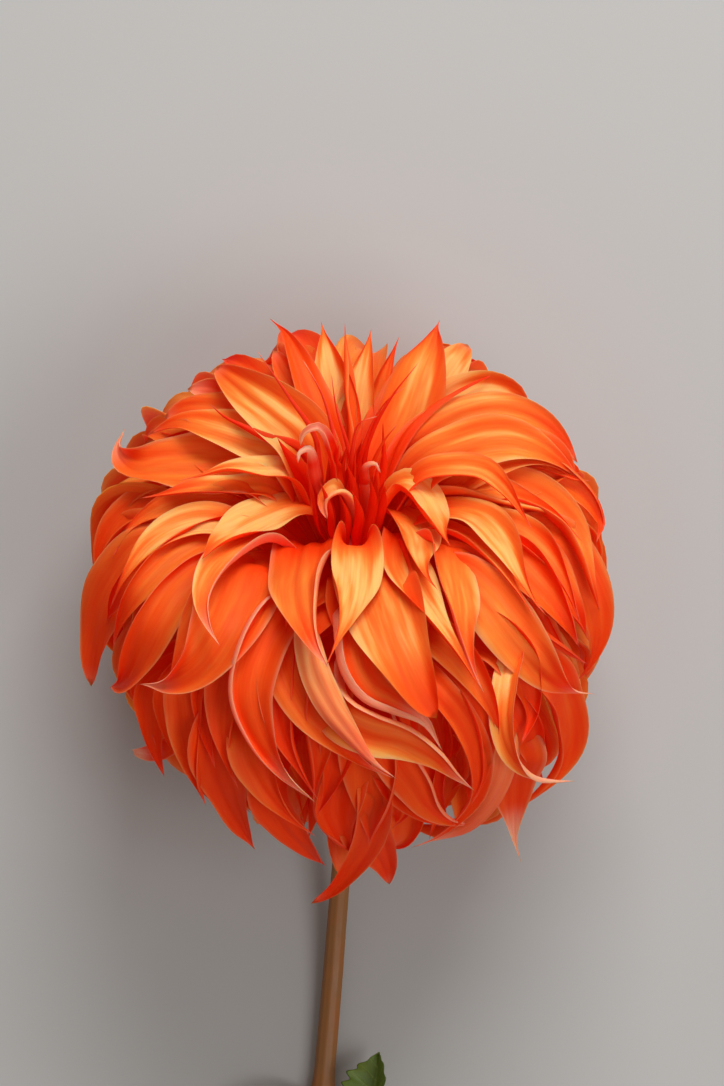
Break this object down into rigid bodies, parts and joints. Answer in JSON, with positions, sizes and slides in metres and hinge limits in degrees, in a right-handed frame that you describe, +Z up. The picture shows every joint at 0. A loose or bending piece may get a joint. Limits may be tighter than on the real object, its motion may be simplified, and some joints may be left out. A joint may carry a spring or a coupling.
{
  "type": "dahlia flower",
  "caption": "Cut dahlia bloom of layered, twisted orange petals round a red crown, on a curved stem with two toothed leaves, lying on a surface.",
  "frame": {"origin": "on the surface the flower lies on, at the middle of its footprint", "axes": "+Z up from the surface, +Y from the cut end of the stem towards the crown of the head, +X to the right of the bloom seen from above"},
  "size_m": [0.1977, 0.3519, 0.1889],
  "materials": {
    "petal": "soft satin petal, yellow-orange at the lit folds, red-orange in the depth, pink backs",
    "young_floret": "satin, deep red with pink and cream tips",
    "bract": "matt green",
    "stem": "smooth, brown-orange with a mauve bloom",
    "leaf": "matt green, lighter veins"
  },
  "bodies": {
    "root": {"ray_petals": "petal", "centre_florets": "young_floret", "bracts": "bract", "stem": "stem", "leaf_right": "leaf", "leaf_left": "leaf"}
  },
  "joints": []
}
